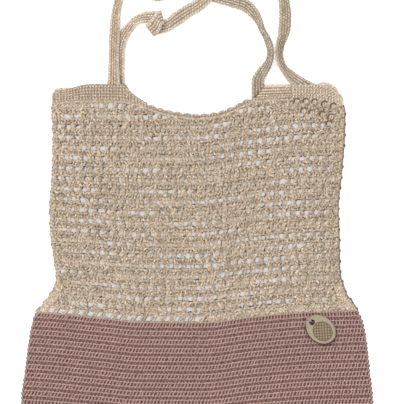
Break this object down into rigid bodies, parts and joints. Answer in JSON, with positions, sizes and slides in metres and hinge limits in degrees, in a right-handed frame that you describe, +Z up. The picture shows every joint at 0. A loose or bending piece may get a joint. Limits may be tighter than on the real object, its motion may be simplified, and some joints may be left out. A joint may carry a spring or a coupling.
{
  "type": "mesh produce bag",
  "caption": "Crocheted produce bag lying flat, with a dense base, openwork mesh upper body, scooped mouth, flat straps and a wooden tag.",
  "frame": {"origin": "centre of the underside of the back base panel, which the bag lies on", "axes": "+X across the bag to its right as seen from the front, +Y from the base towards the straps, +Z up from the surface that the bag lies on, out of its front"},
  "size_m": [0.389, 0.6437, 0.0178],
  "materials": {
    "pink_yarn": "matte dusty-pink cotton yarn in dense single crochet",
    "cream_mesh": "matte cream cotton yarn in openwork crochet",
    "cream_band": "matte cream cotton yarn in tight crochet",
    "cream_strap": "matte cream cotton yarn in tight lengthwise crochet",
    "tag_wood": "pale sanded wood with a burnt pattern"
  },
  "bodies": {
    "bag": {"back_base_panel": "pink_yarn", "front_base_panel": "pink_yarn", "back_mesh_panel": "cream_mesh", "front_mesh_panel": "cream_mesh", "bottom_seam": "pink_yarn", "left_base_seam": "pink_yarn", "right_base_seam": "pink_yarn", "left_mesh_seam": "cream_mesh", "right_mesh_seam": "cream_mesh", "left_shoulder_band": "cream_band", "right_shoulder_band": "cream_band", "front_neck_edging": "cream_band", "back_neck_edging": "cream_band"},
    "front_strap": {"front_strap": "cream_strap"},
    "back_strap": {"back_strap": "cream_strap"},
    "tie": {"tag_tie": "pink_yarn"},
    "tag": {"wooden_tag": "tag_wood"}
  },
  "joints": [
    {"name": "front_strap_swing", "type": "hinge", "parent": "bag", "child": "front_strap", "pos_m": [0.013, 0.32685, 0.0112], "axis": [1, 0, 0], "range_deg": [0, 170]},
    {"name": "back_strap_swing", "type": "hinge", "parent": "bag", "child": "back_strap", "pos_m": [-0.01, 0.32685, -0.00005], "axis": [1, 0, 0], "range_deg": [-170, 0]},
    {"name": "tag_lift", "type": "hinge", "parent": "bag", "child": "tie", "pos_m": [0.1189, 0.07237, 0.01209], "axis": [-0.6549, -0.7547, 0.0385], "range_deg": [0, 90]},
    {"name": "tag_swivel", "type": "hinge", "parent": "tie", "child": "tag", "pos_m": [0.12645, 0.06587, 0.01315], "axis": [0.0588, 0, 0.9983], "range_deg": [-25, 25]}
  ]
}
